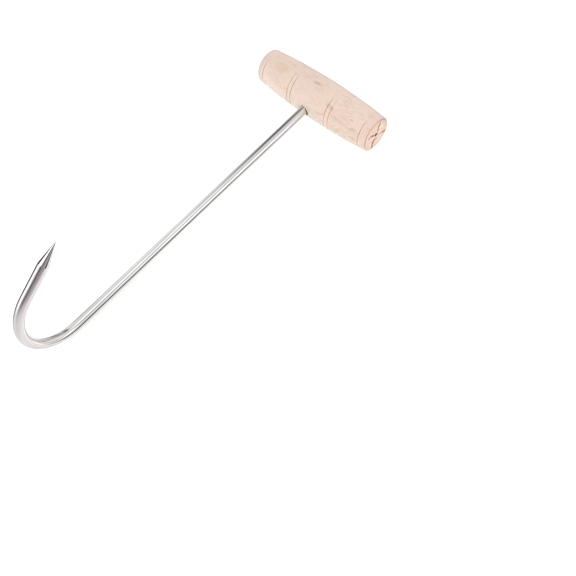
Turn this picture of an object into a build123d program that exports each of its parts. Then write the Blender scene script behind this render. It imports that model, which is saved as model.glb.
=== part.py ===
from build123d import *
import math
import os

# Meat hook with a wooden T-handle, lying on a table with its point up.
# Millimetres. Origin at the middle of the handle's length, on its axis.
# +X runs along the handle, the rod leaves the handle towards -Y, and +Z is up.
# Names ending in _r are radii, in _t thicknesses, and in _s distances along the
# rod's axis from the handle's axis, positive towards the hook.

# ---- handle: one turned piece of wood, barrel-shaped -------------------------
handle_length = 95.0
handle_r_mid = 13.9          # at mid-length
handle_r_end = 11.6          # at both ends, before the edges are rounded
end_round_plus = 1.0         # edge rounding at the +X end
end_round_minus = 2.0        # edge rounding at the -X end
groove_x = (14.9, 18.0, 42.1)  # scored lines, the same either side of mid-length
groove_width = 0.9
groove_depth = 0.45
groove_overrun = 1.0         # how far the groove cutter stands off the surface

# marks the lathe leaves: a four-prong drive at +X, a cup centre at -X
drive_pin_r = 0.9
drive_pin_depth = 3.2
drive_slots = 4
drive_slot_in = 2.6          # radius where a prong's slot starts
drive_slot_out = 10.0        # radius where it ends
drive_slot_width = 0.8
drive_slot_depth = 1.3
drive_slot_turn = 68.0       # first slot's angle from +Y towards +Z
cup_pin_r = 1.2
cup_pin_depth = 1.8
pin_overrun = 0.5            # how far both pin cutters pass the end faces

# ---- rod: round stock, straight shank, J that opens out, ground point --------
rod_r = 3.0
rod_x = -2.3                 # the hole is drilled a little off mid-length
shank_length = 211.5         # handle axis to the start of the bend
bend_r1 = 22.0               # centreline radius of the first, tighter part
bend_turn1 = 97.0
bend_r2 = 33.5               # then the bend opens out
bend_turn2 = 54.0
tip_leg = 36.0               # straight leg after the bend, point included
cone_length = 14.0
point_r = 0.25               # the tip is not needle-sharp

# ---- fastening: shouldered tail, flat washer, hex nut (M5) -------------------
shoulder_s = -1.0            # end of the full-size shank, inside the handle
tail_r = 2.45                # thread modelled at its crest
tail_end_s = -12.3
tail_chamfer = 0.5
entry_bore_r = 3.4
entry_bore_cut = 20.0        # cutter length, out through the -Y side
entry_mouth = 0.35           # broken edge round the hole's mouth
tail_bore_r = 2.65
counterbore_r = 6.0
counterbore_s = -6.3         # floor of the counterbore
counterbore_cut = 12.0       # cutter length, out through the +Y side
counterbore_mouth = 0.3
bore_overrun = 1.0           # the tail and nut bores' cutters pass both ends
washer_r = 5.0
washer_hole_r = 2.65
washer_t = 1.0
washer_chamfer = 0.2
nut_s = counterbore_s - washer_t  # nut face against the washer
nut_across_flats = 8.0
nut_t = 4.0
nut_bore_r = 2.5
nut_bore_mouth = 0.35
nut_crown_ratio = 0.95       # flat of the nut's end face, relative to across-flats
nut_crown_angle = 30.0

# ---- attitude: the handle's belly and the bend both touch the table ----------
tilt = math.atan2(bend_r1, shank_length) + math.asin(
    (handle_r_mid - rod_r - bend_r1) / math.hypot(shank_length, bend_r1)
)
rod_direction = (0, -math.cos(tilt), -math.sin(tilt))

# The hook's own plane: local x runs down the rod, local y is the J's upward side.
hook_plane = Plane(origin=(rod_x, 0, 0), x_dir=rod_direction, z_dir=(-1, 0, 0))


def across(distance):
    """Plane square to the rod at a distance from the handle's axis, facing the hook."""
    return Plane(
        origin=(rod_x, distance * rod_direction[1], distance * rod_direction[2]),
        x_dir=(1, 0, 0),
        z_dir=rod_direction,
    )


def barrel_r(x):
    """Handle radius at x on the arc through both ends and the middle."""
    sag = handle_r_mid - handle_r_end
    arc_r = ((handle_length / 2) ** 2 + sag**2) / (2 * sag)
    return handle_r_mid - arc_r + math.sqrt(arc_r**2 - x**2)


def is_free_curve(edge):
    """True for edges such as the ones where a bore meets the barrel."""
    return edge.geom_type not in (GeomType.CIRCLE, GeomType.LINE)


def on_barrel(edge):
    """True if the edge's centre lies near the barrel's surface."""
    return 11.0 < math.hypot(edge.center().Y, edge.center().Z) < 14.0


def make_handle():
    half = handle_length / 2
    with BuildPart() as handle:
        with BuildSketch(Plane.XY):
            with BuildLine():
                Polyline((-half, handle_r_end), (-half, 0), (half, 0), (half, handle_r_end))
                ThreePointArc((-half, handle_r_end), (0, handle_r_mid), (half, handle_r_end))
            make_face()
        revolve(axis=Axis.X)
        for end, rounding in ((-1, end_round_plus), (0, end_round_minus)):
            rims = handle.edges().filter_by(GeomType.CIRCLE).sort_by(Axis.X)
            fillet(rims[end], rounding)

        # scored V-grooves
        cutter_half_width = groove_width / 2 * (1 + groove_overrun / groove_depth)
        with BuildSketch(Plane.XY):
            for x in sorted([-g for g in groove_x] + list(groove_x)):
                surface_r = barrel_r(x)
                with BuildLine():
                    Polyline(
                        (x, surface_r - groove_depth),
                        (x + cutter_half_width, surface_r + groove_overrun),
                        (x - cutter_half_width, surface_r + groove_overrun),
                        close=True,
                    )
                make_face()
        revolve(axis=Axis.X, mode=Mode.SUBTRACT)

        # four-prong drive slots at +X
        with BuildSketch(Plane.YZ.offset(half)):
            with PolarLocations(
                (drive_slot_in + drive_slot_out) / 2, drive_slots, start_angle=drive_slot_turn
            ):
                Rectangle(drive_slot_out - drive_slot_in, drive_slot_width)
        extrude(amount=-drive_slot_depth, mode=Mode.SUBTRACT)

        # pin marks: pointed cylinder at +X, plain cone at -X
        with BuildSketch(Plane.XY):
            with BuildLine():
                Polyline(
                    (half + pin_overrun, 0),
                    (half + pin_overrun, drive_pin_r),
                    (half - drive_pin_depth + drive_pin_r, drive_pin_r),
                    (half - drive_pin_depth, 0),
                    close=True,
                )
            make_face()
            with BuildLine():
                Polyline(
                    (-half - pin_overrun, 0),
                    (-half - pin_overrun, cup_pin_r * (1 + pin_overrun / cup_pin_depth)),
                    (-half + cup_pin_depth, 0),
                    close=True,
                )
            make_face()
        revolve(axis=Axis.X, mode=Mode.SUBTRACT)

        # rod hole: full-size bore, tail bore beyond the step, counterbore at +Y
        tail_bore_cut = shoulder_s - counterbore_s + 2 * bore_overrun
        for start_s, bore_r, cut in (
            (shoulder_s, entry_bore_r, entry_bore_cut),
            (counterbore_s - bore_overrun, tail_bore_r, tail_bore_cut),
            (counterbore_s, counterbore_r, -counterbore_cut),
        ):
            with BuildSketch(across(start_s)):
                Circle(bore_r)
            extrude(amount=cut, mode=Mode.SUBTRACT)

        # broken edges where the two holes meet the barrel
        mouths = handle.edges().filter_by(is_free_curve).filter_by(on_barrel)
        chamfer(mouths.sort_by(Axis.Y)[0], entry_mouth)
        mouths = handle.edges().filter_by(is_free_curve).filter_by(
            lambda edge: edge.center().Y > 11.0
        )
        chamfer(mouths.sort_by(Axis.Y)[-1], counterbore_mouth)
    return handle.part


def make_hook_rod():
    with BuildPart() as hook_rod:
        with BuildLine(hook_plane) as path:
            shank = Line((shoulder_s, 0), (shank_length, 0))
            bend1 = JernArc(shank @ 1, shank % 1, bend_r1, bend_turn1)
            bend2 = JernArc(bend1 @ 1, bend1 % 1, bend_r2, bend_turn2)
            leg = Line(bend2 @ 1, bend2 @ 1 + (bend2 % 1) * (tip_leg - cone_length))
        with BuildSketch(across(shoulder_s)):
            Circle(rod_r)
        sweep(path=path.line)
        # ground point
        tip_plane = Plane(origin=leg @ 1, x_dir=(1, 0, 0), z_dir=leg % 1)
        with BuildSketch(tip_plane):
            Circle(rod_r)
        with BuildSketch(tip_plane.offset(cone_length)):
            Circle(point_r)
        loft()
        # threaded tail
        with BuildSketch(across(shoulder_s)):
            Circle(tail_r)
        extrude(amount=tail_end_s - shoulder_s)
        rims = hook_rod.edges().filter_by(GeomType.CIRCLE).sort_by(Axis.Y)
        chamfer(rims[-1], tail_chamfer)
    return hook_rod.part


def make_washer():
    """Flat washer on the counterbore's floor, its outer edge broken on the nut side."""
    with BuildPart() as washer:
        with BuildSketch(across(counterbore_s)):
            Circle(washer_r)
            Circle(washer_hole_r, mode=Mode.SUBTRACT)
        extrude(amount=-washer_t)
        nut_side = washer.faces().sort_by(Axis.Y)[-1]
        chamfer(nut_side.edges().sort_by(SortBy.RADIUS)[-1], washer_chamfer)
    return washer.part


def make_nut():
    flats_r = nut_across_flats / 2
    corner_r = nut_across_flats / math.sqrt(3)
    crown_r = flats_r * nut_crown_ratio
    bevel = (corner_r - crown_r) * math.tan(math.radians(nut_crown_angle))
    far_s = nut_s - nut_t
    with BuildPart() as nut:
        with BuildSketch(across(nut_s)):
            RegularPolygon(flats_r, 6, major_radius=False)
        extrude(amount=-nut_t)
        # both faces turned to a crown, so the corners are bevelled
        with BuildSketch(hook_plane):
            with BuildLine():
                Polyline(
                    (nut_s, 0),
                    (nut_s, crown_r),
                    (nut_s - bevel, corner_r),
                    (far_s + bevel, corner_r),
                    (far_s, crown_r),
                    (far_s, 0),
                    close=True,
                )
            make_face()
        revolve(axis=Axis((rod_x, 0, 0), rod_direction), mode=Mode.INTERSECT)
        with BuildSketch(across(nut_s + bore_overrun)):
            Circle(nut_bore_r)
        extrude(amount=-(nut_t + 2 * bore_overrun), mode=Mode.SUBTRACT)
        bore_rims = nut.edges().filter_by(GeomType.CIRCLE).filter_by(
            lambda edge: abs(edge.radius - nut_bore_r) < 0.01
        )
        chamfer(bore_rims, nut_bore_mouth)
    return nut.part


os.makedirs("parts", exist_ok=True)
for name, make_piece in (
    ("handle", make_handle),
    ("hook_rod", make_hook_rod),
    ("washer", make_washer),
    ("nut", make_nut),
):
    piece = make_piece()
    piece.label = name
    export_step(piece, f"parts/{name}.step")
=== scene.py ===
"""A hand hook: a turned wooden handle and a J-shaped steel rod held by a washer and a hex nut.

The handle lies along X, resting on the floor. The rod passes through it and leaves towards -Y,
tilted down until its first bend rests on the floor; the point then curls up and back. The
threaded tail, washer and nut sit in a counterbore on the +Y side.
"""
import math
from functools import reduce
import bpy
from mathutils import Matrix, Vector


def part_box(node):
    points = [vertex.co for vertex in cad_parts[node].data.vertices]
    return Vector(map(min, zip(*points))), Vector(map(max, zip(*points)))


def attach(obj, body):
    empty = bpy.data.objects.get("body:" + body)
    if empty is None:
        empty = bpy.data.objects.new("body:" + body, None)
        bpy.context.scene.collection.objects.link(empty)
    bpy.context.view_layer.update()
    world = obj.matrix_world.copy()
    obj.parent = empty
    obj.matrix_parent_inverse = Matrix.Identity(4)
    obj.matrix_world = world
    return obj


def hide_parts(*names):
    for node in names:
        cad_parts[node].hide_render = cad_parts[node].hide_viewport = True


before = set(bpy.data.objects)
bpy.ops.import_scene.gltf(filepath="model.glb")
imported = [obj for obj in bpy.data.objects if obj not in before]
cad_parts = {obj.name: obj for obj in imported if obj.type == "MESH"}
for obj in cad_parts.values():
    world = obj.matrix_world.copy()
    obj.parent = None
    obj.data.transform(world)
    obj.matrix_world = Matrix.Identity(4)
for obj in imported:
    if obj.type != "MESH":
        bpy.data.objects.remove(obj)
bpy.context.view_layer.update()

from types import SimpleNamespace

import bpy
import bmesh
import numpy as np
from mathutils import Matrix, Vector

MM = 0.001

# ------------------------------------------------------------------ dimensions, mm
handle_low, handle_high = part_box("handle")
rod_low, rod_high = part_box("hook_rod")

# Handle: a barrel with rounded ends and six scored grooves
HALF = (handle_high.x - handle_low.x) / 2 / MM     # half the length
R_MID = handle_high.z / MM
R_END = 11.6
ROUND_PLUS, ROUND_MINUS = 1.0, 2.0                 # edge radii at the +X and -X ends
GROOVES = (-42.1, -18.0, -14.9, 14.9, 18.0, 42.1)
GROOVE_WIDTH, GROOVE_DEPTH = 0.9, 0.45
SIDE_R = 8                                         # anything beyond this radius is not end face
SAG = R_MID - R_END
BARREL_ARC = (HALF ** 2 + SAG ** 2) / (2 * SAG)

# Rod: shank, two bends (radii in mm, turns in degrees), then a leg ending in a ground cone
ROD_X = (rod_low.x + rod_high.x) / 2 / MM
ROD_R = (rod_high.x - rod_low.x) / 2 / MM
SHANK = 211.5
BEND_R1, TURN1 = 22.0, 97.0
BEND_R2, TURN2 = 33.5, 54.0
LEG, CONE, POINT_R = 36.0, 14.0, 0.25
STRAIGHT = LEG - CONE
# Lengths along the centreline where each bend and the leg's straight part end
BEND_1_END = SHANK + BEND_R1 * math.radians(TURN1)
BEND_2_END = BEND_1_END + BEND_R2 * math.radians(TURN2)
CONE_START = BEND_2_END + STRAIGHT

# Places along the rod (S), measured from the handle's axis, positive towards the hook
SHOULDER_S, TAIL_END = -1.0, -12.3
TAIL_R, RUNOUT_R = 2.45, 2.0
PITCH, THREAD_DEPTH = 0.8, 0.46
THREAD_STEP = PITCH / 16

# Hole: entry bore, tail bore and counterbore
BORE_R, BORE_MOUTH, TAIL_BORE_R = 3.4, 0.35, 2.65
COUNTERBORE_R, COUNTERBORE_S, COUNTERBORE_MOUTH = 6.0, -6.3, 0.3
SLACK_X, SLACK_U = 0.33, -0.21    # entry bore's centre from the rod's, which stands to its -X side

WASHER_R, WASHER_HOLE, WASHER_T = 5.0, 2.65, 1.0
NUT_FLATS, NUT_T = 8.0, 4.0
NUT_LEAD_R = 2.85                 # mouth of the nut's bore
WASHER_OUT = COUNTERBORE_S - WASHER_T

# Downward tilt of the shank at which the first bend touches the floor
TILT = (math.atan2(BEND_R1, SHANK)
        + math.asin((R_MID - ROD_R - BEND_R1) / math.hypot(SHANK, BEND_R1)))
COS_TILT, SIN_TILT = math.cos(TILT), math.sin(TILT)
FLOOR_Z = -R_MID * MM


def hook_point(s, u, x):
    """Hook plane (s down the rod, u to the J's upward side, x sideways) to the row frame, mm."""
    s, u, x = np.broadcast_arrays(s, u, x)
    return np.stack([ROD_X + x, -s * COS_TILT - u * SIN_TILT, -s * SIN_TILT + u * COS_TILT], -1)


def circle(segments):
    return np.arange(segments) * 2 * math.pi / segments


def rod_ring(radius, s, angles):
    """A ring about the rod's axis; radius and s may vary around it."""
    return hook_point(s, radius * np.sin(angles), radius * np.cos(angles))


def smooth(start, end, value):
    t = np.clip((value - start) / (end - start), 0.0, 1.0)
    return t * t * (3 - 2 * t)


# ------------------------------------------------------------------ mesh tools
def mesh_object(name, verts, faces, rod_coords=None):
    mesh = bpy.data.meshes.new(name)
    mesh.from_pydata((np.asarray(verts) * MM).tolist(), [], [list(map(int, f)) for f in faces])
    if rod_coords is not None:
        attribute = mesh.attributes.new("rodcoord", "FLOAT_VECTOR", "POINT")
        attribute.data.foreach_set("vector", np.asarray(rod_coords, np.float32).ravel())
    mesh.validate()
    piece = bpy.data.objects.new(name, mesh)
    bpy.context.scene.collection.objects.link(piece)
    return piece


def tube(rings, closed_loop=False):
    """Skin (n, m, 3) rings. The ends are fans about two added points, or joined to each other."""
    rings = np.array(rings)
    n, m = rings.shape[:2]
    verts = rings.reshape(-1, 3)
    i = np.arange(n - 1)[:, None] * m
    j = np.arange(m)[None, :]
    j_next = (j + 1) % m
    quads = [i + j, i + j_next, i + m + j_next, i + m + j]
    faces = np.stack(quads, -1).reshape(-1, 4).tolist()
    last = (n - 1) * m
    if closed_loop:
        faces += np.stack([last + j[0], last + j_next[0], j_next[0], j[0]], -1).tolist()
        return verts, faces
    verts = np.vstack([verts, rings[0].mean(0), rings[-1].mean(0)])
    faces += [[n * m, (k + 1) % m, k] for k in range(m)]
    faces += [[n * m + 1, last + k, last + (k + 1) % m] for k in range(m)]
    return verts, faces


def face_outwards(mesh):
    bm = bmesh.new()
    bm.from_mesh(mesh)
    bmesh.ops.recalc_face_normals(bm, faces=bm.faces)
    bm.to_mesh(mesh)
    bm.free()


def shade(piece, sharp_degrees):
    mesh = piece.data
    face_outwards(mesh)
    mesh.polygons.foreach_set("use_smooth", [True] * len(mesh.polygons))
    mesh.set_sharp_from_angle(angle=math.radians(sharp_degrees))
    mesh.update()


def cut(piece, cutter):
    """Subtract a closed (verts, faces) mesh and apply the result."""
    tool = mesh_object("cutter", *cutter)
    face_outwards(tool.data)
    boolean = piece.modifiers.new("cut", "BOOLEAN")
    boolean.operation = "DIFFERENCE"
    boolean.solver = "EXACT"
    boolean.object = tool
    depsgraph = bpy.context.evaluated_depsgraph_get()
    result = bpy.data.meshes.new_from_object(piece.evaluated_get(depsgraph))
    if len(result.vertices) < 0.5 * len(piece.data.vertices):
        raise RuntimeError("a cut removed the piece")
    piece.modifiers.clear()
    old = piece.data
    piece.data = result
    result.name = piece.name
    bpy.data.meshes.remove(old)
    bpy.data.objects.remove(tool)


def tidy(piece, weld=3e-7):
    """Weld the cuts' hairline leftovers (metres) and split the many-sided faces."""
    bm = bmesh.new()
    bm.from_mesh(piece.data)
    bmesh.ops.remove_doubles(bm, verts=bm.verts, dist=weld)
    bmesh.ops.dissolve_degenerate(bm, dist=weld, edges=bm.edges)
    bmesh.ops.triangulate(bm, faces=[f for f in bm.faces if len(f.verts) > 4])
    bm.to_mesh(piece.data)
    bm.free()


# ------------------------------------------------------------------ handle mesh
def barrel(x):
    """Radius of the handle's side at x."""
    return R_MID - BARREL_ARC + np.sqrt(BARREL_ARC ** 2 - x ** 2)


def profile_step(x):
    """Spacing of the rings: finest at the grooves, fine around the rod's hole."""
    near = min(abs(x - groove) for groove in GROOVES)
    step = 0.09 if near < 0.62 else (0.2 if near < 1.2 else 0.8)
    return min(step, 0.3) if abs(x - ROD_X) < 7.5 else step


def handle_profile():
    """(x, radius) rows along the outside, from the middle of the -X end face to the +X one's."""
    sweep = math.radians(87)
    centre_r, rim_gap = 0.12, 0.15       # first ring's radius, last face ring's gap to the rounding

    rim = float(barrel(-HALF + ROUND_MINUS)) - ROUND_MINUS
    face = np.concatenate([[centre_r], np.arange(0.6, rim - 0.3, 0.6), [rim - rim_gap]])
    rows = [(-HALF, radius) for radius in face]
    for angle in np.linspace(0, 1, 11) * sweep:
        rows.append((-HALF + ROUND_MINUS * (1 - math.cos(angle)),
                     rim + ROUND_MINUS * math.sin(angle)))

    xs = [-HALF + ROUND_MINUS + 0.25]
    end = HALF - ROUND_PLUS - 0.2
    while xs[-1] < end:
        xs.append(min(xs[-1] + profile_step(xs[-1]), end))
    rows += [(x, float(barrel(x))) for x in xs]

    rim = float(barrel(HALF - ROUND_PLUS)) - ROUND_PLUS
    for angle in np.linspace(1, 0, 9) * sweep:
        rows.append((HALF - ROUND_PLUS * (1 - math.cos(angle)), rim + ROUND_PLUS * math.sin(angle)))
    face = np.concatenate([[rim - rim_gap], np.arange(rim - 0.5, 0.5, -0.5), [centre_r]])
    rows += [(HALF, float(radius)) for radius in face]
    return np.array(rows)


def uneven_turning(x, radius, theta):
    """A few hundredths of a millimetre of run-out and waves, fading out at the end faces."""
    wave = (0.05 * np.sin(x * 0.21 + 0.7) + 0.03 * np.sin(x * 0.53 + 2.0)
            + 0.03 * np.cos(2 * theta[None, :] + x * 0.03))
    return radius + smooth(0.0, 3.0, HALF - np.abs(x)) * wave * (radius > SIDE_R)


def score_grooves(x, radius, theta):
    """Wandering V grooves of uneven depth with slightly raised lips, lightest over the crown."""
    degrees = np.degrees(theta)
    crown = smooth(52, 92, degrees) * (1 - smooth(150, 190, degrees))
    for i, groove in enumerate(GROOVES):
        path = groove + 0.06 * np.sin(theta + i * 1.3) + 0.03 * np.sin(3 * theta + i)
        uneven = 1 + 0.14 * np.sin(2 * theta + i * 2.1) + 0.08 * np.sin(5 * theta + i)
        depth = GROOVE_DEPTH * uneven * (1 - 0.70 * crown)
        across = np.abs(x - path[None, :]) / (GROOVE_WIDTH / 2)      # 1 at the groove's edge
        vee = np.clip(1 - across, 0, None) ** 0.9
        lip = 0.035 * np.exp(-((across - 1.25) / 0.3) ** 2)
        radius = radius - depth[None, :] * vee + lip * (radius > SIDE_R)
    return radius


def turn_handle():
    """The uncut handle. Ring angle 0 points to -Y, 90 degrees up."""
    profile = handle_profile()
    theta = circle(288)
    x = np.repeat(profile[:, 0][:, None], len(theta), 1)
    radius = np.repeat(profile[:, 1][:, None], len(theta), 1)
    radius = uneven_turning(x, radius, theta)
    radius = score_grooves(x, radius, theta)
    verts, faces = tube(np.stack([x, radius * -np.cos(theta), radius * np.sin(theta)], -1))
    verts[-2] = (-HALF, 0, 0)
    verts[-1] = (HALF, 0, 0)
    piece = mesh_object("turned_handle", verts, faces)
    shade(piece, 40)
    return piece


def hole_cutter():
    """One stepped spindle along the rod: counterbore, tail bore and entry bore, edges broken."""
    angles = circle(120)
    sideways = np.cos(angles)
    outside = 2.0                      # how far the spindle flares and reaches beyond the wood

    def skin(radius):
        """Distance along the rod to the barrel's surface, at this radius around the hole."""
        x, z = ROD_X + radius * sideways, radius * np.sin(angles)
        return np.sqrt(np.maximum(barrel(x) ** 2 - z * z, 0.01))

    def rings(stations):
        return [rod_ring(radius, s, angles) for radius, s in stations]

    mouth = COUNTERBORE_R + COUNTERBORE_MOUTH
    palm_side = rings((
        (mouth + outside, -skin(mouth) - outside),
        (mouth, -skin(mouth)),
        (COUNTERBORE_R, -skin(COUNTERBORE_R) + COUNTERBORE_MOUTH),
        (COUNTERBORE_R, COUNTERBORE_S),
        (TAIL_BORE_R, COUNTERBORE_S),
        (TAIL_BORE_R, SHOULDER_S),
    ))
    # The entry's mouth is ragged, and broken more on the side away from the rod
    open_side = smooth(-0.2, 0.9, sideways)
    ragged = 0.05 * np.sin(5 * angles + 0.4) + 0.04 * np.sin(9 * angles + 1.7)
    throat = BORE_R + 0.01 + 0.08 * open_side + ragged * 0.3
    mouth = BORE_R + 0.03 + 0.20 * open_side + ragged * 0.6
    entry = rings((
        (BORE_R, SHOULDER_S),
        (BORE_R, skin(BORE_R) - BORE_MOUTH - 0.15),
        (throat, skin(BORE_R) - BORE_MOUTH * 0.5),
        (mouth, skin(mouth)),
        (mouth + outside, skin(mouth) + outside),
    ))
    slack = np.array([SLACK_X, -SLACK_U * SIN_TILT, SLACK_U * COS_TILT])
    return tube(palm_side + [ring + slack for ring in entry])


# Four tapered slots in the +X end face: (y, z, width, depth) along the middle of each
END_SLOTS = (
    ((4.2, 8.6, 0.7, 0.3), (3.7, 7.5, 1.3, 0.7), (3.1, 6.3, 1.5, 0.9), (2.4, 4.7, 1.3, 0.8),
     (2.0, 3.4, 1.2, 0.8), (1.7, 2.3, 1.3, 0.8), (1.55, 1.7, 0.7, 0.3)),
    ((9.8, -3.7, 0.9, 0.4), (8.9, -3.75, 1.6, 1.1), (8.1, -3.8, 1.7, 1.1), (7.0, -3.45, 1.1, 0.6),
     (5.2, -2.85, 0.8, 0.4), (3.7, -2.3, 0.8, 0.4), (2.9, -1.95, 0.5, 0.25)),
    ((1.1, -4.1, 0.7, 0.3), (0.2, -3.8, 1.1, 0.6), (-0.8, -3.6, 1.3, 0.9), (-1.7, -3.6, 1.8, 1.3),
     (-2.4, -4.3, 1.8, 1.3), (-3.0, -5.4, 1.6, 1.1), (-3.35, -6.4, 1.3, 0.7),
     (-3.55, -7.4, 1.6, 0.6), (-3.6, -8.6, 1.5, 0.6), (-3.6, -9.4, 0.8, 0.3)),
    ((-1.75, 0.75, 0.7, 0.4), (-2.3, 1.2, 1.2, 0.9), (-3.4, 1.9, 1.4, 0.9), (-4.7, 2.5, 1.2, 0.7),
     (-5.8, 2.6, 1.1, 0.6), (-6.6, 1.9, 1.1, 0.5), (-6.9, 1.1, 0.6, 0.3)),
)
# A slot's cross-section: (place across as a share of width, height off the face, share of depth)
SLOT_SECTION = (
    (0.62, 1.0, 0), (0.5, 0, 0), (0.38, 0, 0.55), (0.14, 0, 1),
    (-0.14, 0, 1), (-0.38, 0, 0.55), (-0.5, 0, 0), (-0.62, 1.0, 0),
)
# Round pits in the end faces: (height off the face, radius)
PIN_HOLE = ((1.0, 2.1), (0.0, 1.52), (-0.35, 1.38), (-2.2, 1.05), (-3.0, 0.3), (-3.2, 0.05))
CENTRE_CUP = ((1.0, 1.9), (0.0, 1.22), (-0.8, 0.72), (-1.6, 0.25), (-1.8, 0.04))


def slot_cutter(stations):
    """A trench along the stations, resampled and made slightly uneven."""
    table = np.array(stations, float)
    start_y, start_z = table[0, :2]
    t = np.linspace(0, len(table) - 1, 25)
    y, z, width, depth = (np.interp(t, np.arange(len(table)), column) for column in table.T)
    depth = depth * (1 + 0.10 * np.sin(t * 4.1 + start_z))
    width = width * (1 + 0.12 * np.sin(t * 5.3 + start_z * 2))
    y = y + 0.06 * np.sin(t * 7.0 + start_y)
    middle = np.stack([y, z], 1)
    tangent = np.gradient(middle, axis=0)
    tangent /= np.linalg.norm(tangent, axis=1)[:, None]
    normal = np.stack([-tangent[:, 1], tangent[:, 0]], 1)
    return tube([
        [(HALF + rise - deep * share, *(point + across_dir * wide * across))
         for across, rise, share in SLOT_SECTION]
        for point, across_dir, wide, deep in zip(middle, normal, width, depth)
    ])


def pit_cutter(end, stations, lobes=0.0, stretch_y=1.0, stretch_z=1.0, shift_y=0.0):
    """A round pit at the +X (end=1) or -X (end=-1) face; lobes makes it three-cornered."""
    angles = circle(40)
    rings = []
    for height, radius in stations:
        uneven = radius * (1 + lobes * np.cos(3 * angles + 0.5))
        rings.append(np.stack([
            np.full(len(angles), end * (HALF + height)),
            stretch_y * uneven * np.cos(angles) + shift_y,
            stretch_z * uneven * np.sin(angles),
        ], -1))
    return tube(rings)


def build_handle():
    piece = turn_handle()
    cut(piece, hole_cutter())
    for stations in END_SLOTS:
        cut(piece, slot_cutter(stations))
    cut(piece, pit_cutter(1, PIN_HOLE, lobes=0.05, stretch_y=1.12, stretch_z=0.86, shift_y=0.1))
    cut(piece, pit_cutter(-1, CENTRE_CUP))
    tidy(piece)
    shade(piece, 38)
    return piece


# ------------------------------------------------------------------ rod mesh
def bent_centreline():
    """(s, u, turn, along) arrays through the bends, whose curvature eases in and out."""
    turn_1, turn_2 = math.radians(TURN1), math.radians(TURN2)
    total_turn = turn_1 + turn_2
    step = 0.05
    along = np.arange(SHANK - 20.0, CONE_START + step / 2, step)

    def ease(centre, width):
        return smooth(centre - width / 2, centre + width / 2, along)

    curve_1, curve_2 = 1 / BEND_R1, 1 / BEND_R2
    curvature = (curve_1 * ease(SHANK, 17.0) + (curve_2 - curve_1) * ease(BEND_1_END, 16.0)
                 - curve_2 * ease(BEND_2_END, 12.0))
    turn = np.concatenate([[0.0], np.cumsum((curvature[1:] + curvature[:-1]) / 2 * step)])
    turn *= total_turn / turn[-1]
    mid = (turn[1:] + turn[:-1]) / 2
    s = SHANK - 20.0 + np.concatenate([[0.0], np.cumsum(np.cos(mid) * step)])
    u = np.concatenate([[0.0], np.cumsum(np.sin(mid) * step)])

    # Easing moves the end off the plain arcs' end point; the difference is shared along the bend
    end = np.array([SHANK + BEND_R1 * math.sin(turn_1), BEND_R1 * (1 - math.cos(turn_1))])
    end += BEND_R2 * np.array([math.sin(total_turn) - math.sin(turn_1),
                               math.cos(turn_1) - math.cos(total_turn)])
    end += STRAIGHT * np.array([math.cos(total_turn), math.sin(total_turn)])
    share = smooth(SHANK - 8.0, BEND_2_END, along)
    return s + share * (end[0] - s[-1]), u + share * (end[1] - u[-1]), turn, along


def rod_path():
    """(s, u, turn, along) ring stations from just past the shoulder to the cone."""
    straight = np.concatenate([np.arange(SHOULDER_S + 1, 20, 1.0), np.arange(20, SHANK - 20, 2.0)])
    rows = [(place, 0.0, 0.0, place) for place in straight]
    columns = bent_centreline()
    along = columns[-1]
    step = 0.05
    picks = np.concatenate([
        np.arange(SHANK - 20, SHANK - 9, 1.5),
        np.arange(SHANK - 9, BEND_2_END + 7, 0.5),
        np.arange(BEND_2_END + 7, CONE_START - 0.6, 0.9),
        CONE_START - np.array([0.35, 0.12, 0.0]),
    ])
    for place in picks:
        i = min(int(round((place - along[0]) / step)), len(along) - 1)
        rows.append(tuple(float(column[i]) for column in columns))
    return rows


def thread_radius(s, angles):
    phase = (s / PITCH + angles / (2 * math.pi)) % 1.0
    ridge = np.abs(phase - 0.5) * 2                      # 1 at the crest, 0 in the root
    return TAIL_R - THREAD_DEPTH * (1 - smooth(0.16, 0.86, ridge))


def cone_radius(past):
    """Radius this far past the cone's start; grinding leaves the start slightly rounded."""
    slope, soft = (ROD_R - POINT_R) / CONE, 0.15
    return ROD_R - slope * (past + math.sqrt(past * past + soft * soft)) / 2


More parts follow.
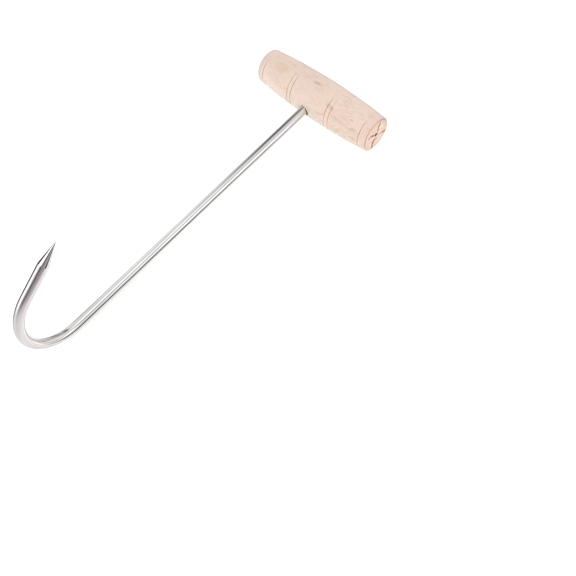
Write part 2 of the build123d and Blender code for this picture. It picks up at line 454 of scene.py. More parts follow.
def build_rod():
    angles = circle(96)
    sideways, upward = np.cos(angles), np.sin(angles)
    rings, coords = [], []

    def ring(s, radius, u=0.0, turn=0.0, along=None):
        radius = np.broadcast_to(radius, angles.shape)
        along = s if along is None else along
        out = radius * upward
        rings.append(hook_point(s + out * -math.sin(turn), u + out * math.cos(turn),
                                radius * sideways))
        coords.append(np.stack([np.full(len(angles), along), radius * sideways, out], -1))

    # Threaded tail: chamfered end, thread running out before the shoulder
    for s in np.arange(TAIL_END, SHOULDER_S - 0.9, THREAD_STEP):
        chamfer = TAIL_R - 0.5 * smooth(0.5, 0.0, s - TAIL_END)
        radius = np.minimum(thread_radius(s, angles), chamfer)
        runout = smooth(SHOULDER_S - 1.7, SHOULDER_S - 1.1, s)
        ring(s, radius * (1 - runout) + RUNOUT_R * runout)
    ring(SHOULDER_S - 0.35, RUNOUT_R)
    ring(SHOULDER_S, RUNOUT_R + 0.05)
    ring(SHOULDER_S, ROD_R - 0.15)
    ring(SHOULDER_S + 0.15, ROD_R)

    # Shank, bends and leg; bending leaves the section very slightly oval
    path = rod_path()
    for s, u, turn, along in path:
        oval = 0.035 * math.sin(turn) if 0 < turn < math.radians(TURN1 + TURN2) else 0.0
        radius = ROD_R * np.ones(len(angles)) - oval * upward ** 2 + 0.2 * oval * sideways ** 2
        past = along - CONE_START
        if past > -4.0:
            radius = radius * cone_radius(past) / ROD_R
        ring(s, np.minimum(radius, ROD_R), u, turn, along)

    heading = math.radians(TURN1) + math.radians(TURN2)
    leg_s = path[-1][0] - STRAIGHT * math.cos(heading)
    leg_u = path[-1][1] - STRAIGHT * math.sin(heading)

    def leg_ring(distance, radius):
        """A ring this far down the leg."""
        ring(leg_s + distance * math.cos(heading), radius, leg_u + distance * math.sin(heading),
             heading, BEND_2_END + distance)

    # Ground cone: slightly full, with faint facets and rings
    cone_rings = 76
    for k in range(1, cone_rings + 1):
        t = k / cone_rings
        radius = cone_radius(CONE * t) + 0.02 * math.sin(math.pi * t) * (1 - t)
        facets = 0.018 * (1 - t) * smooth(0.0, 0.06, t) * np.cos(7 * angles + 3.0 * t)
        ripple = 0.005 * math.sin(t * 61) * (1 - t) * smooth(0.0, 0.1, t)
        leg_ring(STRAIGHT + CONE * t, np.minimum(radius + facets + ripple, ROD_R))
    # Blunt tip
    for k in range(1, 6):
        angle = k / 6 * math.pi / 2
        leg_ring(LEG + POINT_R * math.sin(angle) * 0.6, POINT_R * math.cos(angle))

    verts, faces = tube(rings)
    coords = np.array(coords)
    coords = np.vstack([coords.reshape(-1, 3), coords[0].mean(0), coords[-1].mean(0)])
    piece = mesh_object("j_hook_rod", verts, faces, coords)
    shade(piece, 32)
    return piece


# ------------------------------------------------------------------ washer and nut
def build_washer():
    wood_face, out_face = COUNTERBORE_S, WASHER_OUT
    # (radius, s) around the section: a rolled outer edge on the nut's side
    section = (
        (WASHER_HOLE + 0.05, wood_face), (WASHER_R - 0.06, wood_face),
        (WASHER_R, wood_face - 0.06), (WASHER_R, out_face + 0.30),
        (WASHER_R - 0.05, out_face + 0.14), (WASHER_R - 0.14, out_face + 0.05),
        (WASHER_R - 0.30, out_face), (WASHER_HOLE + 0.16, out_face),
        (WASHER_HOLE + 0.05, out_face + 0.04), (WASHER_HOLE, out_face + 0.14),
        (WASHER_HOLE, wood_face - 0.05),
    )
    angles = circle(96)
    rings = [rod_ring(radius, s, angles) for radius, s in section]
    piece = mesh_object("flat_washer", *tube(rings, closed_loop=True))
    shade(piece, 50)
    return piece


def build_nut():
    angles = circle(144)
    s_in, s_out = WASHER_OUT, WASHER_OUT - NUT_T
    corner_wear, clearance = 0.10, 0.06
    folded = (angles + math.pi / 6) % (math.pi / 3) - math.pi / 6
    hexagon = (NUT_FLATS / 2) / np.cos(folded)
    hexagon = np.minimum(hexagon, NUT_FLATS / math.sqrt(3) - corner_wear)
    face_r, bore_rim = NUT_FLATS / 2 * 0.95, 3.3
    bevel = np.clip((hexagon - face_r) * math.tan(math.radians(30)), 0.02, None)
    # (radius, s) over the outside, from the outer face to the one on the washer
    outside = (
        (NUT_LEAD_R, s_out), (bore_rim, s_out), (face_r, s_out),
        (hexagon - 0.02, s_out + bevel - 0.01), (hexagon, s_out + bevel + 0.03),
        (hexagon, (s_in + s_out) / 2),
        (hexagon, s_in - bevel - 0.03), (hexagon - 0.02, s_in - bevel + 0.01),
        (face_r, s_in), (bore_rim, s_in), (NUT_LEAD_R, s_in),
    )
    rings = [rod_ring(radius, s, angles) for radius, s in outside]
    # Threaded bore, back to the outer face, in step with the tail's thread
    for s in np.arange(s_in - THREAD_STEP, s_out + THREAD_STEP / 2, -THREAD_STEP):
        lead = NUT_LEAD_R - min(abs(s - s_in), abs(s - s_out))
        rings.append(rod_ring(np.maximum(thread_radius(s, angles) + clearance, lead), s, angles))
    piece = mesh_object("hex_nut", *tube(rings, closed_loop=True))
    shade(piece, 28)
    return piece


handle = build_handle()
rod = build_rod()
washer = build_washer()
nut = build_nut()


# ------------------------------------------------------------------ node helpers
LINEAR = "LINEAR"


def srgb(*rgb):
    """0-255 sRGB to linear RGBA."""
    shares = (value / 255.0 for value in rgb)
    return (*(c / 12.92 if c <= 0.04045 else ((c + 0.055) / 1.055) ** 2.4 for c in shares), 1.0)


class Net:
    """Makes and joins nodes in one tree. Most methods return an output socket."""

    def __init__(self, tree):
        self.tree = tree
        tree.nodes.clear()

    def new(self, kind, **props):
        node = self.tree.nodes.new(kind)
        for name, value in props.items():
            setattr(node, name, value)
        return node

    def put(self, socket, value):
        """Link a socket's value in, or set a constant."""
        if isinstance(value, bpy.types.NodeSocket):
            self.tree.links.new(value, socket)
        else:
            socket.default_value = value

    def fill(self, kind, output, values, **props):
        """A new node with its inputs (keyed by name or index) filled."""
        node = self.new(kind, **props)
        for key, value in values.items():
            self.put(node.inputs[key], value)
        return node.outputs[output]

    def math(self, operation, *values):
        return self.fill("ShaderNodeMath", 0, dict(enumerate(values)), operation=operation)

    def mul(self, *factors):
        return reduce(lambda a, b: self.math("MULTIPLY", a, b), factors)

    def add(self, *terms):
        return reduce(lambda a, b: self.math("ADD", a, b), terms)

    def sub(self, a, b):
        return self.math("SUBTRACT", a, b)

    def mul_add(self, a, b, c):
        return self.math("MULTIPLY_ADD", a, b, c)

    def squares(self, a, b):
        return self.add(self.mul(a, a), self.mul(b, b))

    def distance(self, a, b):
        return self.math("SQRT", self.squares(a, b))

    def vec(self, operation, a, b):
        output = "Value" if operation == "DOT_PRODUCT" else "Vector"
        return self.fill("ShaderNodeVectorMath", output, {0: a, 1: b}, operation=operation)

    def xyz(self, vector):
        node = self.new("ShaderNodeSeparateXYZ")
        self.put(node.inputs[0], vector)
        return tuple(node.outputs)

    def combine(self, x, y, z):
        return self.fill("ShaderNodeCombineXYZ", 0, {0: x, 1: y, 2: z})

    def stretch(self, parts, scales):
        return self.combine(*(self.mul(part, scale) for part, scale in zip(parts, scales)))

    def millimetres(self):
        coords = self.new("ShaderNodeTexCoord").outputs["Object"]
        return self.vec("MULTIPLY", coords, (1000, 1000, 1000))

    def noise(self, vector, detail, roughness, distortion=0.0, scale=1.0):
        return self.fill("ShaderNodeTexNoise", "Fac", {
            "Vector": vector, "Scale": scale, "Detail": detail,
            "Roughness": roughness, "Distortion": distortion})

    def ramp(self, value, start, end, low=0.0, high=1.0, kind="SMOOTHSTEP"):
        """Low where value is at start, high where it is at end."""
        return self.fill("ShaderNodeMapRange", "Result", {
            "Value": value, "From Min": start, "From Max": end,
            "To Min": low, "To Max": high}, interpolation_type=kind)

    def swing(self, value, reach):
        """0..1 to -reach..reach."""
        return self.ramp(value, 0, 1, -reach, reach, LINEAR)

    def mask(self, *factors):
        """Product of factors; a tuple stands for a ramp's arguments."""
        return self.mul(*(self.ramp(*f) if isinstance(f, tuple) else f for f in factors))

    def mix(self, factor, a, b):
        # A colour Mix node keeps its factor and two colours in inputs 0, 6 and 7, result in 2
        return self.fill("ShaderNodeMix", 2, {0: factor, 6: a, 7: b},
                         data_type="RGBA", blend_type="MIX")

    def paint(self, under, layers):
        """Mix colours over `under`, one after another. Layers: (sRGB, mask factor, ...)."""
        for colour, *factors in layers:
            under = self.mix(self.mask(*factors), under, srgb(*colour))
        return under

    def bump(self, height, strength, distance):
        return self.fill("ShaderNodeBump", 0, {
            "Strength": strength, "Distance": distance, "Height": height})


def new_material(name):
    material = bpy.data.materials.new(name)
    material.use_nodes = True
    return material, Net(material.node_tree)


def principled(name):
    material, net = new_material(name)
    output = net.new("ShaderNodeOutputMaterial")
    shader = net.new("ShaderNodeBsdfPrincipled")
    net.put(output.inputs[0], shader.outputs[0])
    return material, net, shader.inputs


def set_material(piece, material):
    piece.data.materials.clear()
    piece.data.materials.append(material)


# ------------------------------------------------------------------ wood
ARC_PER_DEGREE = 13.0 * math.pi / 180      # mm around the side, at a typical radius

# Single marks on the side; angle 0 faces -Y, 90 up:
# (x, angle, half length, half width, strength, sRGB)
SIDE_MARKS = (
    (-29.6, 73, 9.0, 4.2, 0.24, (214, 190, 158)), (-30.5, 62, 5.5, 1.8, 0.16, (212, 184, 150)),
    (-32.5, 36, 7.5, 3.4, 0.18, (218, 194, 166)), (-0.4, 87, 5.2, 1.5, 0.34, (196, 164, 150)),
    (-1.0, 88, 2.4, 0.8, 0.30, (188, 158, 146)), (-6.0, 103, 4.0, 1.2, 0.26, (206, 176, 158)),
    (-10.0, 92, 5.0, 1.4, 0.22, (222, 186, 160)), (16.0, 52, 4.6, 2.0, 0.34, (206, 174, 160)),
    (18.4, 50, 1.6, 1.8, 0.34, (194, 162, 148)), (37.5, 33, 3.4, 1.1, 0.42, (198, 162, 142)),
    (34.2, 28, 3.8, 0.8, 0.32, (202, 164, 142)), (33.4, 54, 1.6, 0.7, 0.38, (196, 156, 138)),
    (29.0, 47, 5.0, 0.9, 0.26, (206, 172, 154)), (24.5, 33, 5.5, 1.8, 0.28, (212, 178, 168)),
    (-36.3, 54, 1.0, 0.6, 0.42, (210, 182, 160)), (-34.6, 52, 0.8, 0.5, 0.42, (210, 182, 160)),
    (-38.5, 60, 1.3, 0.6, 0.36, (246, 220, 196)), (-43.6, 90, 2.6, 1.6, 0.40, (250, 216, 186)),
    (-19.6, 27, 2.1, 1.1, 0.40, (226, 180, 152)), (10.0, 20, 4.0, 1.4, 0.40, (208, 184, 162)),
    (13.0, 23, 1.8, 0.9, 0.40, (206, 182, 164)), (3.0, 26, 2.4, 1.0, 0.45, (250, 222, 210)),
    (26.0, 3, 3.6, 2.0, 0.34, (206, 184, 152)), (38.5, 6, 4.0, 1.8, 0.38, (202, 172, 142)),
    (32.0, 12, 5.0, 1.4, 0.28, (222, 184, 156)), (33.0, 72, 7.0, 1.0, 0.30, (252, 224, 200)),
    (36.0, 47, 3.2, 0.6, 0.34, (254, 222, 198)), (35.5, 83, 0.6, 0.4, 0.45, (190, 150, 140)),
    (-9.0, 6, 3.6, 1.0, 0.40, (252, 240, 214)), (-3.3, 11.8, 1.3, 0.8, 0.75, (168, 128, 108)),
    (-5.5, 4, 1.6, 1.0, 0.34, (206, 190, 160)), (44.5, 95, 1.6, 1.6, 0.45, (250, 216, 196)),
)
# Single spots on the +X end face: (y, z, radius, strength, sRGB)
END_SPOTS = (
    (-4.8, 1.2, 1.1, 0.85, (255, 240, 222)), (-6.2, 0.2, 1.0, 0.80, (255, 238, 220)),
    (-1.4, -1.9, 0.9, 0.70, (255, 240, 222)), (-4.6, -2.6, 1.2, 0.45, (206, 172, 148)),
    (4.6, 3.4, 2.2, 0.60, (252, 236, 216)), (7.0, 6.4, 2.6, 0.35, (220, 206, 188)),
    (8.6, 2.6, 2.2, 0.35, (214, 204, 188)), (-3.2, 6.0, 2.6, 0.35, (226, 200, 170)),
    (2.2, -6.4, 2.6, 0.35, (250, 222, 206)), (0.4, 7.8, 1.8, 0.40, (226, 196, 168)),
    (-7.6, -1.6, 1.4, 0.40, (252, 226, 204)), (-5.4, -5.4, 1.6, 0.35, (252, 226, 206)),
    (3.3, -0.6, 1.3, 0.55, (255, 238, 222)), (-1.2, -8.2, 1.6, 0.40, (222, 190, 176)),
    (5.0, -7.6, 4.2, 0.60, (240, 224, 216)),
)


def wood_fields(net):
    """Coordinates (mm, degrees) and grain patterns shared by the wood's parts."""
    point = net.millimetres()
    x, y, z = net.xyz(point)

    # Warped y and z, so that no grain line is straight
    warp_y = net.noise(net.vec("MULTIPLY", point, (0.02, 0.07, 0.07)), detail=3.0, roughness=0.5)
    warp_z = net.noise(net.vec("MULTIPLY", point, (0.03, 0.09, 0.09)), detail=2.0, roughness=0.5)
    warped_y = net.add(y, net.swing(warp_y, 4.5))
    warped_z = net.add(z, net.swing(warp_z, 4.0))

    # Growth rings about a slanting pith line outside the handle
    pith_y, pith_z, pith_slope, ring_spacing = -21.0, 27.0, 0.05, 3.1
    pith_distance = net.distance(net.add(warped_y, -pith_y),
                                 net.sub(warped_z, net.mul_add(x, pith_slope, pith_z)))
    ring_wave = net.math("SINE", net.mul(pith_distance, 2 * math.pi / ring_spacing))

    return SimpleNamespace(
        point=point, x=x, y=y, z=z,
        abs_x=net.math("ABSOLUTE", x),
        radius=net.distance(y, z),
        angle=net.mul(net.math("ARCTAN2", z, net.mul(y, -1.0)), 180 / math.pi),
        ring=net.ramp(ring_wave, 0.2, 1.0),
        fibre=net.noise(net.stretch((x, warped_y, warped_z), (0.05, 1.6, 1.6)),
                        detail=4.0, roughness=0.6),
        fine=net.noise(net.stretch((x, y, z), (0.22, 6.0, 6.0)), detail=3.0, roughness=0.6),
        pores=net.noise(net.combine(0.0, net.mul(y, 3.4), net.mul(z, 3.4)),
                        detail=3.0, roughness=0.6),
    )


def wood_side(net, wood):
    """Broad colour regions with painted light and shade, blotches and fibres of the side."""
    x, y, z, angle = wood.x, wood.y, wood.z, wood.angle
    patch = net.noise(net.vec("MULTIPLY", wood.point, (0.035, 0.10, 0.10)),
                      detail=2.0, roughness=0.5)
    flecks = net.noise(net.stretch((x, y, z), (0.45, 5.0, 5.0)), detail=1.0, roughness=0.4)
    blotch = net.noise(net.stretch((x, y, z), (0.16, 0.26, 0.26)),
                       detail=3.0, roughness=0.6, distortion=0.6)
    small_blotch = net.noise(
        net.combine(net.mul_add(x, 0.34, 11.0), net.mul(y, 0.55), net.mul(z, 0.55)),
        detail=3.0, roughness=0.65, distortion=0.8)
    flank = net.mask((angle, 52, 2), (angle, -175, -60))       # the side facing the hook
    base = net.mix(net.ramp(patch, 0.35, 0.65), srgb(240, 217, 204), srgb(241, 216, 200))
    return net.paint(base, (
        # Painted light: flank lighter and yellower, most at the -X end
        ((239, 225, 212), flank, (x, 17, 2, 0.25, 0.66)),
        # Painted light: crown lighter towards +X
        ((247, 224, 209), (angle, 44, 72), (angle, 178, 150), (x, -8, 24, 0.0, 0.75)),
        # Painted shade: flank darker towards +X
        ((222, 203, 187), (x, 14, 30, 0.0, 0.55), flank),
        # Painted shade: underside greyer
        ((219, 213, 206), (angle, -4, -28), (wood.abs_x, 14, 26, 0.58, 0.84), (angle, -150, -90)),
        # Painted grazing-angle reflection: the +Y side and the -X end greyer
        ((210, 200, 203), (angle, 112, 140, 0.0, 0.75)),
        ((210, 203, 206), (x, -42.5, -46.6, 0.0, 0.85)),
        # The last stretch at +X redder; its rounded edge greyed on the +Y side by a painted
        # grazing-angle reflection
        ((238, 206, 194), (x, 41.5, 44.0, 0.0, 0.34)),
        ((204, 192, 183), (x, HALF - 1.3, HALF - 0.5), (y, 0.0, 6.0, 0.0, 0.62)),
        # Rings, blotches, fibres and flecks
        ((226, 196, 178), wood.ring, 0.08),
        ((219, 194, 176), (blotch, 0.52, 0.68, 0.0, 0.40)),
        ((244, 222, 208), (blotch, 0.48, 0.32, 0.0, 0.35)),
        ((224, 198, 183), (small_blotch, 0.54, 0.70, 0.0, 0.40)),
        ((244, 224, 205), (small_blotch, 0.46, 0.30, 0.0, 0.34)),
        ((224, 196, 180), (wood.fibre, 0.50, 0.75, 0.0, 0.16)),
        ((247, 229, 213), (wood.fibre, 0.46, 0.25, 0.0, 0.14)),
        ((215, 184, 166), (wood.fine, 0.52, 0.78, 0.0, 0.16)),
        ((192, 158, 138), (flecks, 0.72, 0.82, 0.0, 0.35)),
    ))


def wood_slanting_grain(net, wood, base):
    """Slanting streaks on the +X third, and steeper, paler ones low on the hook's side."""
    x, angle = wood.x, wood.angle
    arc = net.mul(angle, ARC_PER_DEGREE)

    def streaks(cosine, sine, along_scale, across_scale, layer):
        along = net.mul_add(x, cosine, net.mul(arc, sine))
        across = net.mul_add(x, -sine, net.mul(arc, cosine))
        place = net.combine(net.mul(along, along_scale), net.mul(across, across_scale), layer)
        return net.noise(place, detail=3.0, roughness=0.6, distortion=0.4)

    slant = streaks(cosine=0.93, sine=0.37, along_scale=0.11, across_scale=0.62, layer=3.0)
    steep = streaks(cosine=0.78, sine=0.62, along_scale=0.16, across_scale=0.50, layer=9.0)
    third = net.mask((x, 17.0, 23.0), (angle, 108, 84))
    low = net.mask((angle, 34, 8), (angle, -80, -50))
    return net.paint(base, (
        ((221, 187, 174), third, (slant, 0.53, 0.68, 0.0, 0.40)),
        ((250, 225, 203), third, (slant, 0.47, 0.32, 0.0, 0.42)),
        ((216, 200, 182), low, (steep, 0.50, 0.66, 0.0, 0.32)),
        ((251, 240, 229), low, (steep, 0.50, 0.34, 0.0, 0.36)),
    ))


def wood_side_marks(net, wood, base):
    """Soft elliptical marks with wandering outlines."""
    wander = net.swing(net.noise(net.vec("MULTIPLY", wood.point, (0.45, 0.45, 0.45)),
                                 detail=2.0, roughness=0.6), 1.3)
    for mark_x, mark_angle, half_length, half_width, strength, colour in SIDE_MARKS:
        along = net.math("DIVIDE", net.add(net.sub(wood.x, mark_x), wander), half_length)
        arc = net.mul(net.sub(wood.angle, mark_angle), ARC_PER_DEGREE)
        across = net.math("DIVIDE", net.mul_add(wander, 0.35, arc), half_width)
        spread = net.squares(along, across)
        base = net.paint(base, ((colour, (spread, 1.0, 0.1, 0.0, strength)),))
    return base


def wood_grooves(net, wood, base):
    """Painted shade in the scored grooves and painted highlights on the lips beside them, faint
    over the crown.
    """
    gaps = [net.math("ABSOLUTE", net.sub(wood.x, groove)) for groove in GROOVES]

    def strongest(masks):
        return reduce(lambda a, b: net.math("MAXIMUM", a, b), masks)

    # Painted shade in the grooves and painted highlights on their lips, both faint over the crown
    groove_shade = strongest([net.ramp(gap, 0.55, 0.10) for gap in gaps])
    lip = strongest([net.mask((gap, 0.45, 0.75), (gap, 1.35, 0.85)) for gap in gaps])
    uneven = net.noise(net.vec("MULTIPLY", wood.point, (0.3, 0.16, 0.16)),
                       detail=2.0, roughness=0.5)
    crown = net.mask((wood.angle, 48, 84), (wood.angle, 178, 150))
    return net.paint(base, (
        ((251, 234, 216), lip, (crown, 0.0, 1.0, 0.55, 0.15, LINEAR),
         (uneven, 0.30, 0.65, 0.4, 1.0)),
        ((196, 163, 138), groove_shade, (uneven, 0.35, 0.62, 0.35, 0.85),
         (crown, 0.0, 1.0, 1.0, 0.10, LINEAR)),
    ))


def wood_end_grain(net, wood):
    """Warmer, pored end grain with the growth rings across it."""
    x, y, z, radius, pores = wood.x, wood.y, wood.z, wood.radius, wood.pores
    mottle = net.noise(net.combine(7.0, net.mul(y, 0.62), net.mul(z, 0.62)),
                       detail=3.0, roughness=0.65)
    lower_hook_side = net.add(net.mul(y, -0.80), net.mul(z, -0.60))
    grain = net.mix(net.ramp(pores, 0.35, 0.65), srgb(249, 222, 206), srgb(230, 198, 179))
    grain = net.paint(grain, (
        ((208, 172, 150), wood.ring, 0.22),
        ((254, 232, 214), (mottle, 0.52, 0.66, 0.0, 0.75)),
        ((206, 176, 156), (mottle, 0.47, 0.33, 0.0, 0.62)),
        ((238, 200, 166), (lower_hook_side, 7.5, 11.5), 0.35),
    ))
    for spot_y, spot_z, spot_r, strength, colour in END_SPOTS:
        spread = net.squares(net.sub(y, spot_y), net.sub(z, spot_z))
        spread = net.mask(spread, (pores, 0.3, 0.7, 0.6, 1.6, LINEAR))
        grain = net.paint(grain, (
            (colour, (x, 0.0, 1.0), (spread, spot_r * spot_r, 0.0, 0.0, strength)),
        ))
    # Duller towards the edge, most on the +Y side
    return net.paint(grain, (
        ((226, 202, 186), (radius, 7.5, 9.5, 0.0, 0.35)),
        ((206, 194, 183), (radius, 8.6, 9.8), (net.mul_add(z, 0.4, y), 2.0, 8.0, 0.0, 0.55)),
    ))


def wood_end_darkening(net, wood, base):
    """A darker ring near the +X edge, and wood darkened by crushing and painted shade in the end
    marks.
    """
    x, abs_x, radius = wood.x, wood.abs_x, wood.radius
    ring_r, rim_darkest_angle = 10.70, math.radians(112)        # angle from +Y towards up
    seat = net.math("ARCTAN2", wood.z, wood.y)
    facing = net.math("COSINE", net.sub(seat, rim_darkest_angle))
    # A darker brown line on the rim, strongest near the top
    rim = net.mask((net.math("ABSOLUTE", net.sub(radius, ring_r)), 0.72, 0.10),
                   (x, HALF - 0.9, HALF - 0.4))
    base = net.paint(base, (((180, 136, 112), rim, (facing, -0.1, 0.55, 0.18, 1.0), 0.85),))
    # Inside the end marks: darkened by crushing, with painted shade deepest near the centre
    inside = net.mask((abs_x, HALF - 0.06, HALF - 0.35), (radius, 10.3, 10.0),
                      (abs_x, HALF - 4.5, HALF - 4.0), 0.95)
    crushed_and_shaded = net.mix(net.ramp(radius, 2.1, 1.6), srgb(170, 112, 80), srgb(128, 72, 42))
    return net.mix(inside, base, crushed_and_shaded)


def wood_bores(net, wood, base):
    """Painted shade: darker wood in the entry bore (-Y side) and the counterbore (+Y side)."""
    y = wood.y
    rod_x = net.sub(wood.x, ROD_X)
    rod_u = net.add(net.mul(y, -SIN_TILT), net.mul(wood.z, COS_TILT))
    from_rod = net.distance(rod_x, rod_u)
    from_entry = net.distance(net.sub(rod_x, SLACK_X), net.sub(rod_u, SLACK_U))
    return net.paint(base, (
        ((132, 98, 74), (from_entry, BORE_R + 0.22, BORE_R + 0.03), (y, 6.5, 5.5), 0.85),
        ((205, 168, 140), (from_rod, COUNTERBORE_R + 0.25, COUNTERBORE_R + 0.02),
         (y, 5.5, 6.2), 0.35),
    ))


def wood_material():
    material, net, shader = principled("raw_turned_wood")
    wood = wood_fields(net)
    base = wood_side(net, wood)
    base = wood_slanting_grain(net, wood, base)
    base = wood_side_marks(net, wood, base)
    base = wood_grooves(net, wood, base)
    on_end = net.ramp(wood.abs_x, HALF - 0.10, HALF - 0.01)
    base = net.mix(on_end, base, wood_end_grain(net, wood))
    base = wood_end_darkening(net, wood, base)
    base = wood_bores(net, wood, base)
    net.put(shader["Base Color"], base)
    net.put(shader["Roughness"], net.ramp(wood.fine, 0.3, 0.7, 0.62, 0.80, LINEAR))
    shader["Specular IOR Level"].default_value = 0.28
    # Relief: fibres, fine turning rings, and pores on the ends
    turning = net.noise(net.combine(net.mul(wood.x, 4.2), 0.0, 0.0), detail=2.0, roughness=0.6)
    height = net.add(net.mul(wood.fine, 0.55), net.mul(wood.fibre, 0.35), net.mul(turning, 0.25),
                     net.mul(wood.pores, on_end, 0.8))
    net.put(shader["Normal"], net.bump(height, strength=0.35, distance=0.00012))
    return material


# ------------------------------------------------------------------ steel
def steel_material():
    """Polished rod; patterns follow the rodcoord attribute (along, sideways, upward)."""
    material, net, shader = principled("polished_rod_steel")
    rod_coord = net.new("ShaderNodeAttribute", attribute_type="GEOMETRY",
                        attribute_name="rodcoord").outputs["Vector"]
    parts = net.xyz(rod_coord)
    cone = net.ramp(parts[0], CONE_START - 0.1, CONE_START + 0.25)
    # Draw lines along the rod, rarer deep ones, broad clouds, and grinding around the cone
    lines = net.noise(net.stretch(parts, (0.035, 5.5, 5.5)), detail=4.0, roughness=0.65)
    deep = net.noise(net.stretch(parts, (0.012, 1.8, 1.8)), detail=2.0, roughness=0.5)
    cloud = net.noise(net.stretch(parts, (0.06, 0.35, 0.35)), detail=3.0, roughness=0.55)
    grinding = net.noise(net.stretch(parts, (3.2, 0.7, 0.7)), detail=4.0, roughness=0.7)

    colour = net.mix(net.ramp(cloud, 0.35, 0.65), srgb(229, 228, 227), srgb(223, 221, 220))
    net.put(shader["Base Color"], net.paint(colour, (
        ((188, 186, 186), (deep, 0.56, 0.72, 0.0, 0.18)),
        ((206, 196, 194), cone, (grinding, 0.4, 0.7, 0.0, 0.30)),
    )))
    shader["Metallic"].default_value = 1.0
    net.put(shader["Roughness"], net.add(
        net.ramp(lines, 0.3, 0.7, 0.055, 0.085, LINEAR),
        net.ramp(cloud, 0.4, 0.7, 0.0, 0.015),
        net.mask(cone, (grinding, 0.3, 0.7, 0.02, 0.05, LINEAR)),
    ))
    height = net.add(net.mul(lines, 0.6), net.mul(deep, 0.8))
    height = net.mul_add(net.mul(cone, grinding), 0.6, height)
    net.put(shader["Normal"], net.bump(height, strength=0.12, distance=0.00002))
    return material


def plated_material():
    material, net, shader = principled("bright_zinc_plate")
    point = net.millimetres()
    cloud = net.noise(point, detail=3.0, roughness=0.6, scale=0.9)
    grain = net.noise(point, detail=3.0, roughness=0.6, scale=9.0)
    net.put(shader["Base Color"], net.mix(
        net.ramp(cloud, 0.35, 0.65), srgb(203, 207, 212), srgb(188, 190, 190)))
    shader["Metallic"].default_value = 1.0
    dullness = net.add(cloud, net.mul(grain, 0.5))
    net.put(shader["Roughness"], net.ramp(dullness, 0.4, 1.1, 0.24, 0.42, LINEAR))
    net.put(shader["Normal"], net.bump(grain, strength=0.25, distance=0.00003))
    return material


WOOD, STEEL, PLATE = wood_material(), steel_material(), plated_material()
for piece, material, node, slot in (
    (handle, WOOD, "handle", "wood"),
    (rod, STEEL, "hook_rod", "steel"),
    (washer, PLATE, "washer", "plated_steel"),
    (nut, PLATE, "nut", "plated_steel"),
):
    set_material(piece, material)
    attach(piece, "root")
    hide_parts(node)
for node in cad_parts.values():      # the hidden CAD nodes carry the same finishes
    set_material(node, {"handle": WOOD, "hook_rod": STEEL}.get(node.name, PLATE))


# ------------------------------------------------------------------ floor
def floor_material():
    """Pale diffuse with a little glow."""
    material, net = new_material("pale_floor")
    output = net.new("ShaderNodeOutputMaterial")
    diffuse = net.fill("ShaderNodeBsdfDiffuse", 0, {"Color": (0.90, 0.90, 0.90, 1)})
    glow = net.fill("ShaderNodeEmission", 0, {"Color": (1, 1, 1, 1), "Strength": 0.40})
    net.put(output.inputs[0], net.fill("ShaderNodeAddShader", 0, {0: diffuse, 1: glow}))
    return material


def build_floor(reach=6.0):
    """A square reaching this many metres each way."""
    mesh = bpy.data.meshes.new("floor")
    corners = ((-reach, -reach), (reach, -reach), (reach, reach), (-reach, reach))
    mesh.from_pydata([(x, y, FLOOR_Z) for x, y in corners], [], [(0, 1, 2, 3)])
    floor = bpy.data.objects.new("floor", mesh)
    bpy.context.scene.collection.objects.link(floor)
    set_material(floor, floor_material())
    floor.visible_glossy = False


build_floor()

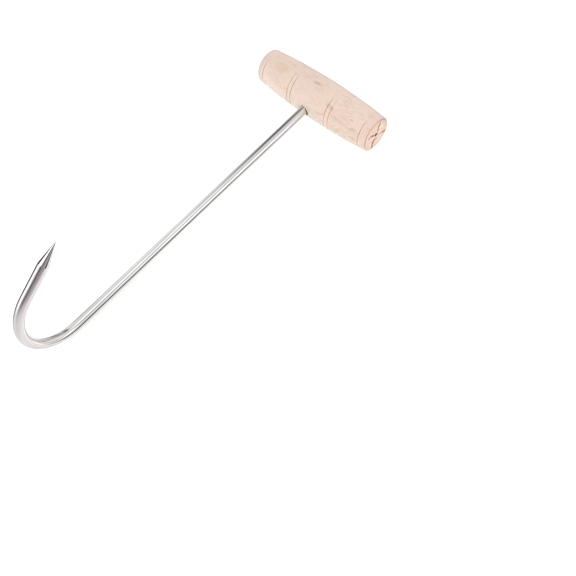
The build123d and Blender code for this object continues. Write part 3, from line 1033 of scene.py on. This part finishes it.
# ------------------------------------------------------------------ light
# The world is a white light tent. Reflections see its darker gaps and brighter panels as lobes:
# (azimuth from +Y towards +X, elevation, turn, sharpness across, sharpness along, amount,
#  extra red, extra blue), angles in degrees
LOBES = (
    (77, 45, 161, 10.6, 0.9, -0.51, -0.04, 0.00),
    (67, -20, 23, 63.4, 1.8, -1.01, 0.01, -0.03),
    (-149, 37, 50, 0.5, 6.8, -1.51, -0.04, 0.01),
    (-19, 16, 178, 8.3, 0.6, -0.49, -0.01, -0.00),
    (72, 2, 111, 2.3, 13.7, 2.34, -0.01, -0.01),
    (-144, 16, 14, 7.8, 16.5, 1.30, 0.00, 0.02),
    (-66, 36, 105, 5.6, 99.5, -0.86, -0.02, 0.01),
    (26, 85, 119, 10.7, 8.1, 1.20, 0.01, -0.00),
    (168, 39, 88, 1.7, 7.2, -0.85, 0.01, 0.04),
    (74, 1, 159, 1.7, 4.3, -1.96, -0.01, 0.00),
    (96, 7, 71, 4.6, 15.0, 0.89, 0.03, 0.00),
    (-175, 53, 129, 10.2, 3.0, 2.27, 0.09, -0.02),
    (34, -8, 17, 6.7, 2.3, 0.78, 0.06, -0.04),
    (-54, 3, 16, 26.3, 2.2, -0.79, -0.03, 0.01),
    (140.2, -4.4, 97.3, 10.3, 2.9, 0.16, 0.01, 0.06),
    (69.6, 19.9, 115.8, 8.8, 74.5, 0.24, -0.04, 0.03),
    (-142.8, 41.1, 54.3, 10.9, 32.9, 0.51, 0.01, 0.02),
    (80.9, -24.6, 50.6, 10.9, 35.2, 0.71, -0.01, 0.00),
    (79.5, -18.3, 43.9, 22.4, 20.3, -0.86, -0.03, 0.02),
    (-108.2, 6.9, 164.6, 52.9, 1.2, -1.12, -0.02, 0.01),
    (-166.2, 65.2, 94.9, 3.0, 65.6, 0.51, -0.00, 0.04),
    (114.0, 7.2, 34.6, 36.1, 4.2, -0.52, 0.04, -0.07),
    (-77.9, 79.0, 134.2, 10.2, 2.5, -0.07, -0.02, 0.01),
    (132.1, 61.7, 97.7, 54.8, 5.6, -1.12, -0.02, 0.03),
    (88.6, -13.4, 44.0, 99.2, 53.2, -0.30, -0.02, -0.02),
    (78.6, -50.6, 82.0, 2.1, 10.9, 0.24, -0.02, 0.01),
    (-107.1, 7.3, 174.0, 66.6, 4.8, -1.38, 0.02, -0.02),
    (177.7, 65.7, 28.4, 3.6, 41.6, 1.44, 0.05, 0.04),
    (-108.4, 25.6, 146.3, 5.2, 26.6, 0.09, -0.05, 0.05),
    (118.9, -72.9, 117.7, 16.5, 1.8, -0.30, 0.03, -0.03),
    (24.8, -18.3, 138.8, 6.9, 14.3, -0.19, -0.01, 0.03),
    (75.0, -14.9, 7.0, 36.5, 20.7, -0.19, 0.03, 0.02),
    (-106.1, 10.9, 83.3, 2.6, 138.4, -2.50, 0.00, -0.01),
    (86.4, -13.7, 122.1, 12.8, 282.5, -0.44, 0.01, -0.02),
    (82.0, 101.4, 100.8, 16.4, 64.1, -0.47, -0.02, 0.01),
    (118.3, 16.4, 131.5, 2.6, 60.1, 0.52, -0.06, 0.03),
    (-139.6, 63.6, 8.9, 28.5, 8.6, 1.32, 0.02, 0.01),
)
TENT = (1.05, 1.02, 1.02)
WHITE = (1.0, 1.0, 1.0, 1)


def lobe_axes(azimuth, elevation, turn):
    """The lobe's across and along axes, and the direction it lies in."""
    toward = Vector((math.sin(azimuth) * math.cos(elevation),
                     math.cos(azimuth) * math.cos(elevation), math.sin(elevation)))
    east = Vector((math.cos(azimuth), -math.sin(azimuth), 0))
    north = toward.cross(east)
    return (math.cos(turn) * east + math.sin(turn) * north,
            -math.sin(turn) * east + math.cos(turn) * north, toward)


def tent_colour(net):
    direction = net.new("ShaderNodeTexCoord").outputs["Generated"]
    total = net.combine(*TENT)
    for *degrees, sharp_across, sharp_along, amount, red, blue in LOBES:
        axes = lobe_axes(*map(math.radians, degrees))
        across, along, ahead = (net.vec("DOT_PRODUCT", direction, tuple(axis)) for axis in axes)
        falloff = net.mul_add(net.mul(across, across), -sharp_across,
                              net.mul(along, along, -sharp_along))
        lobe = net.mask(net.math("EXPONENT", falloff), (ahead, 0.0, 0.3))
        tinted = net.fill("ShaderNodeVectorMath", "Vector", {
            0: (amount + red, amount, amount + blue), "Scale": lobe}, operation="SCALE")
        total = net.vec("ADD", total, tinted)
    return net.vec("MAXIMUM", total, (0.02, 0.02, 0.02))


def build_world():
    """Glossy rays see the tent, the camera plain white, and all others a slightly dimmer white."""
    world = bpy.data.worlds.new("tent")
    bpy.context.scene.world = world
    world.use_nodes = True
    net = Net(world.node_tree)
    output = net.new("ShaderNodeOutputWorld")

    def background(**inputs):
        return net.fill("ShaderNodeBackground", 0, inputs)

    def switch(ray, otherwise, seen):
        is_ray = net.new("ShaderNodeLightPath").outputs[ray]
        return net.fill("ShaderNodeMixShader", 0, {0: is_ray, 1: otherwise, 2: seen})

    tent = background(Color=tent_colour(net))
    lit = switch("Is Glossy Ray", background(Color=WHITE, Strength=0.92), tent)
    net.put(output.inputs[0], switch("Is Camera Ray", lit, background(Color=WHITE)))


def build_key_light():
    location, target = Vector((-0.30, -0.75, 0.65)), Vector((0, -0.1, 0))
    light = bpy.data.lights.new("key", "AREA")
    light.shape = "DISK"
    light.size = 0.8
    light.energy = 0.5
    lamp = bpy.data.objects.new("key", light)
    bpy.context.scene.collection.objects.link(lamp)
    lamp.location = location
    lamp.rotation_euler = (target - location).to_track_quat("-Z", "Y").to_euler()
    lamp.visible_glossy = False
    lamp.visible_camera = False


build_world()
build_key_light()

# ------------------------------------------------------------------ camera
CAMERA_PLACE = (0.20048989, -0.19897203, 0.30421882)
# The camera's right, up and backward directions, one per column
CAMERA_AXES = (
    (0.72024185, -0.59405606, 0.3582584),
    (0.68718697, 0.68167772, -0.25117634),
    (-0.09500394, 0.42709822, 0.89920041),
)


def build_camera():
    data = bpy.data.cameras.new("camera")
    camera = bpy.data.objects.new("camera", data)
    bpy.context.scene.collection.objects.link(camera)
    data.sensor_width = 36.0
    data.lens = 37.5
    data.clip_start = 0.01
    data.clip_end = 20
    right, up, back = ((0.72024185, 0.68718697, -0.09500394),
                       (-0.59405606, 0.68167772, 0.42709822),
                       (0.3582584, -0.25117634, 0.89920041))
    rows = [(*axes, place) for *axes, place in zip(right, up, back, CAMERA_PLACE)]
    camera.matrix_world = Matrix((*rows, (0, 0, 0, 1)))
    bpy.context.scene.camera = camera


build_camera()
view = bpy.context.scene.view_settings
view.view_transform = "Standard"
view.look = "None"
view.exposure = 0.0
view.gamma = 1.0

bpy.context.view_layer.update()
